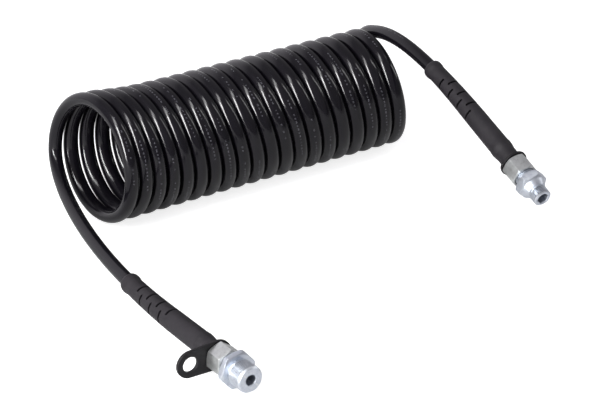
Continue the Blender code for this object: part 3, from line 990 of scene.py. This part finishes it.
# hexagon: across flats and its span along z; then end plane and bore
A_HEX_AF, A_HEX, A_END, A_BORE_R = 28.0, (22.2, 28.2), 44.8, 4.4
B_HEX_AF, B_HEX, B_END, B_BORE_R = 24.0, (21.6, 30.6), 45.5, 4.2
B_SOCKET_AF, B_SOCKET_L = 9.0, 9.0


def stud_back(z_end, a, run_out):
    """Rear rim and the thread that goes into the nut."""
    return [(CONE_R, STUD_BACK, 0.1), (8.25, STUD_BACK, 0.1)] + thread(
        8.85, STUD_BACK + 0.5, z_end, a, run_out=run_out)


def stud_inside(bore_r):
    """Bore, tube socket and the cone at its mouth."""
    return [(bore_r, SOCKET_END, 0), (SOCKET_R, SOCKET_END, 0),
            (SOCKET_R, CONE_END, 0)]


def stud_a_profile(a):
    z0, z1 = A_HEX
    chamfer = A_HEX_AF / 2 - 0.45
    hr = min(hex_r(A_HEX_AF, a, 0.3), 15.6)
    rise = 0.58 * max(0.0, hr - chamfer)
    return (
        stud_back(20.2, a, run_out=1.2)
        + [(NECK_R, 20.6, 0), (NECK_R, z0, 0.2),
           (chamfer, z0, 0.3), (hr, z0 + rise, 0.25), (hr, z1 - rise, 0.25),
           (chamfer, z1, 0.3), (9.8, z1, 0.25), (9.7, z1 + 2.0, 0.25)]
        + thread(11.0, z1 + 2.7, A_END - 1.75, a, 1.0, 0.5)
        + [(9.75, A_END - 0.05, 0.12), (9.5, A_END, 0.1),
           (A_BORE_R + 0.5, A_END, 0.15), (A_BORE_R, A_END - 0.5, 0.15)]
        + stud_inside(A_BORE_R))


def stud_b_profile(a):
    z0, z1 = B_HEX
    chamfer = B_HEX_AF / 2 - 0.9
    hr = hex_r(B_HEX_AF, a, 0.6)
    rise = 0.75 * max(0.0, hr - chamfer)
    key_r = hex_r(B_SOCKET_AF, a, 0.3)      # hexagon socket in the end
    return (
        stud_back(z0 - 0.7, a, run_out=0.8)
        + [(NECK_R, z0 - 0.3, 0), (NECK_R, z0, 0.1),
           (chamfer, z0, 0.4), (hr, z0 + rise, 0.3), (hr, z1 - rise, 0.3),
           (chamfer, z1, 0.3), (10.8, z1 + 0.5, 0.3), (8.4, z1 + 5.2, 0.3),
           (7.2, z1 + 5.8, 0.2), (7.2, z1 + 6.3, 0.1)]
        + thread(8.0, z1 + 6.9, B_END - 1.1, a, 0.9, 0.6)
        + [(7.0, B_END - 0.05, 0.12), (6.7, B_END, 0.1),
           (5.5, B_END, 0.1), (key_r, B_END - 0.6, 0.1),
           (key_r, B_END - B_SOCKET_L, 0), (B_BORE_R, B_END - B_SOCKET_L, 0)]
        + stud_inside(B_BORE_R))


# body, profile, place, material, roll, CAD piece, slot
for body, profile_at, place, mat, roll, node_name, slot in (
        ("nut_a", nut_profile, PLACE_A, NUT, NUT_ROLL_A,
         "union_nut_a", "nut_zinc"),
        ("nut_b", nut_profile, PLACE_B, NUT, NUT_ROLL_B,
         "union_nut_b", "nut_zinc"),
        ("stud_a", stud_a_profile, PLACE_A, STUD, STUD_ROLL_A,
         "stud_fitting_a", "stud_zinc"),
        ("stud_b", stud_b_profile, PLACE_B, STUD, STUD_ROLL_B,
         "stud_fitting_b", "stud_zinc")):
    register(lathe(body + "_piece", profile_at, place, mat, roll=roll),
             node_name, slot, body)

# the CAD rings and sleeves inside the nuts only change material
for node_name, mat in (("cutting_ring_a", CUT), ("cutting_ring_b", CUT),
                       ("support_sleeve_a", BRASS),
                       ("support_sleeve_b", BRASS)):
    for material_slot in frame["nodes"][node_name].material_slots:
        material_slot.material = mat


# --------------------------------------------------------------------- stage
# this section is in metres
def add_floor(half=8, z=-0.0002):
    me = bpy.data.meshes.new("floor")
    me.from_pydata([(-half, -half, z), (half, -half, z), (half, half, z),
                    (-half, half, z)], [], [(0, 1, 2, 3)])
    floor = bpy.data.objects.new("floor", me)
    bpy.context.scene.collection.objects.link(floor)
    mat, g, bsdf = new_material("floor_white")
    bsdf["Roughness"].default_value = 0.9
    bsdf["Specular IOR Level"].default_value = 0.1
    camera_ray = g.new("ShaderNodeLightPath").outputs["Is Camera Ray"]
    place = g.split(g.new("ShaderNodeNewGeometry").outputs["Position"])
    # the camera sees an even pale floor; other rays see it glow more
    # behind the object, as if lit from there
    glow = g.remap(place["Y"], span=(0.15, 1.0), to=(0.12, 0.75))
    seen_strength, seen_base = 0.80, 0.0
    seen = g.math("MULTIPLY_ADD", camera_ray, seen_strength, seen_base)
    g.feed(bsdf["Base Color"], g.mix(camera_ray, a=(0.42, 0.42, 0.425),
                                     b=(0.58, 0.58, 0.585)))
    glow = g.mul(glow, by=g.math("SUBTRACT", 1.0, camera_ray))
    bsdf["Emission Color"].default_value = (1, 1, 1, 1)
    g.feed(bsdf["Emission Strength"], g.add(seen, glow))
    me.materials.append(mat)


def add_world():
    """White to the camera; a dim sky with a bright +Y wall to other rays."""
    studio = bpy.data.worlds.new("studio")
    bpy.context.scene.world = studio
    studio.use_nodes = True
    g = Graph(studio.node_tree)
    out = g.new("ShaderNodeOutputWorld")
    seen = g.new("ShaderNodeBackground")
    seen.inputs["Color"].default_value = (1, 1, 1, 1)
    seen.inputs["Strength"].default_value = 1.0
    lit = g.new("ShaderNodeBackground")
    direction = g.new("ShaderNodeTexCoord").outputs["Generated"]
    facing = g.new("ShaderNodeVectorMath")
    facing.operation = "DOT_PRODUCT"
    g.feed(facing.inputs[0], direction)
    facing.inputs[1].default_value = (-0.17, 0.98, 0.10)    # to the wall
    wall = g.remap(facing.outputs["Value"], span=(0.62, 0.92), to=(0.0, 0.75))
    sky = g.remap(g.split(direction)["Z"], span=(0.0, 1.0), to=(0.19, 0.31))
    lit.inputs["Color"].default_value = (0.97, 0.94, 1.0, 1)
    g.feed(lit.inputs["Strength"], g.add(sky, wall))
    camera_ray = g.new("ShaderNodeLightPath").outputs["Is Camera Ray"]
    mix = g.new("ShaderNodeMixShader")
    for i, value in enumerate((camera_ray, lit.outputs[0], seen.outputs[0])):
        g.feed(mix.inputs[i], value)
    g.feed(out.inputs["Surface"], mix.outputs[0])


def softbox(name, azimuth, low, high, wide, radiance, dist=1.7,
            target=(0.0, -0.05, 0.05)):
    """Softbox standing on a sphere round the object: azimuth from +Y
    towards +X, between two elevations, wide degrees across."""
    az, el = math.radians(azimuth), math.radians((low + high) / 2)
    d = Vector((math.sin(az) * math.cos(el), math.cos(az) * math.cos(el),
                math.sin(el)))
    height = 2 * dist * math.tan(math.radians(high - low) / 2)
    width = 2 * dist * math.tan(math.radians(wide) / 2)
    light = bpy.data.lights.new(name, "AREA")
    light.shape = "RECTANGLE"
    light.size, light.size_y = width, height
    light.energy = radiance * math.pi * width * height
    ob = bpy.data.objects.new(name, light)
    bpy.context.scene.collection.objects.link(ob)
    x = Vector((0, 0, 1)).cross(d).normalized()
    ob.matrix_world = axes_matrix(x, d.cross(x), d, Vector(target) + d * dist)


def add_camera():
    view = Vector((0.487, 0.7462, -0.454)).normalized()
    right = Vector((0.8374, -0.5466, 0.0)).normalized()
    place = Vector((-900.8, -1472.1, 799.3))        # design millimetres
    cam = bpy.data.cameras.new("cam")
    cam.sensor_width = 36.0
    cam.lens = 127.0968
    cam.clip_end = 100
    ob = bpy.data.objects.new("camera", cam)
    bpy.context.scene.collection.objects.link(ob)
    ob.matrix_world = axes_matrix(right, right.cross(view), -view,
                                  world(place))
    bpy.context.scene.camera = ob


add_floor()
add_world()
softbox("softbox_left", azimuth=-106, low=0, high=48, wide=9, radiance=38.0)
softbox("softbox_left_high", azimuth=-104, low=48, high=78, wide=12,
        radiance=8.0)
softbox("softbox_right", azimuth=97, low=12, high=50, wide=7, radiance=5.0)
add_camera()
bpy.context.scene.view_settings.view_transform = "Standard"
bpy.context.scene.view_settings.look = "None"
